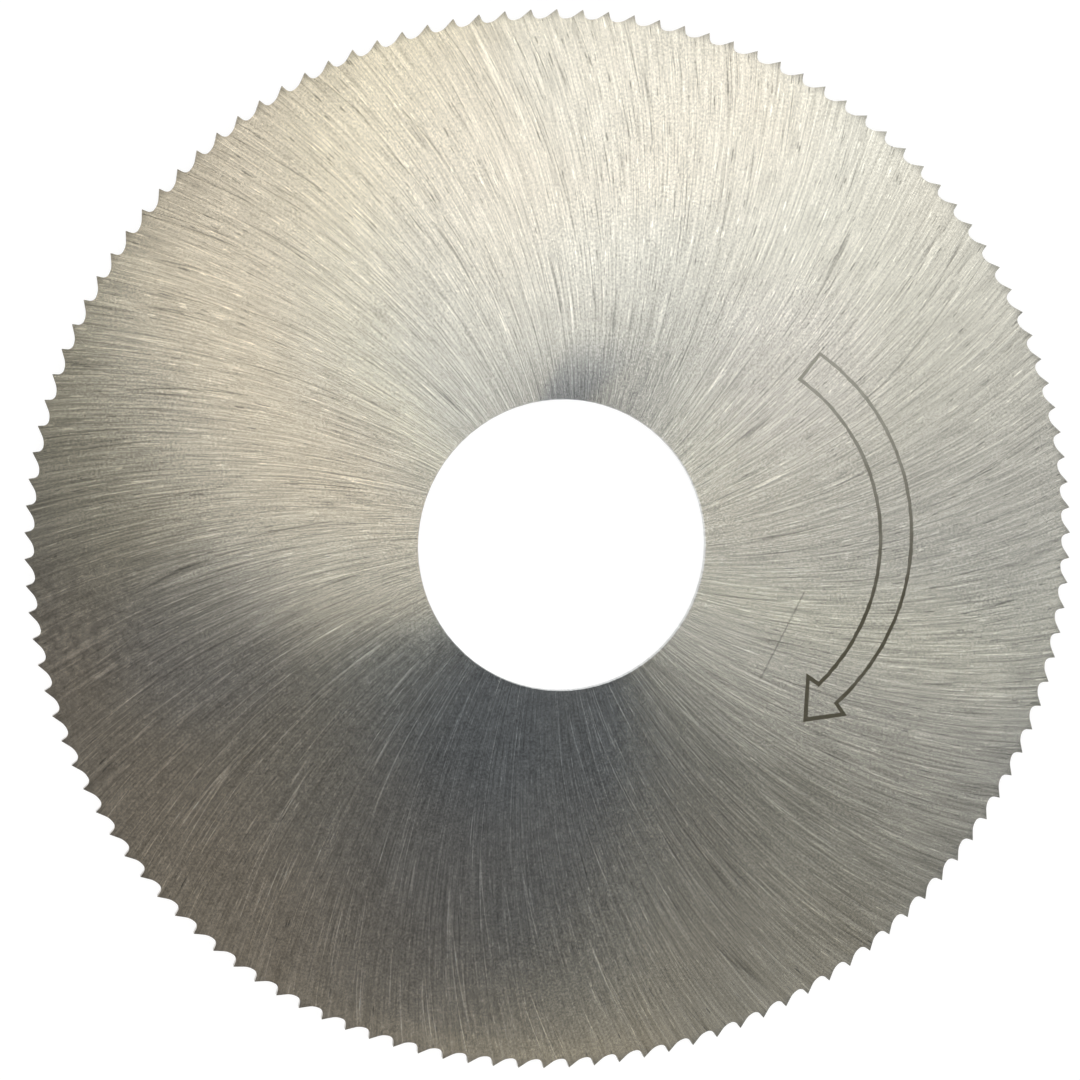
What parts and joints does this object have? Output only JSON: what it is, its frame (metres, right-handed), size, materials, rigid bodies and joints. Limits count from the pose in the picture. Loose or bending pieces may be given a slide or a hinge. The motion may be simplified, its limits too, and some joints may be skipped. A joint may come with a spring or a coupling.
{
  "type": "slitting saw",
  "caption": "Thin flat disc saw with fine teeth all round its rim and a plain round bore at its centre, for cutting narrow slots in metal on a milling arbor.",
  "frame": {"origin": "on the bore axis, at the underside of the toothed rim", "axes": "+Z along the bore axis, up through the disc; one tooth tip lies on +X; seen from +Z the teeth cut clockwise"},
  "size_m": [0.08, 0.08, 0.0007],
  "materials": {
    "ground_steel": "ground, with fine curved grinding lines from bore to rim"
  },
  "bodies": {
    "root": {"saw_blade": "ground_steel"}
  },
  "joints": []
}
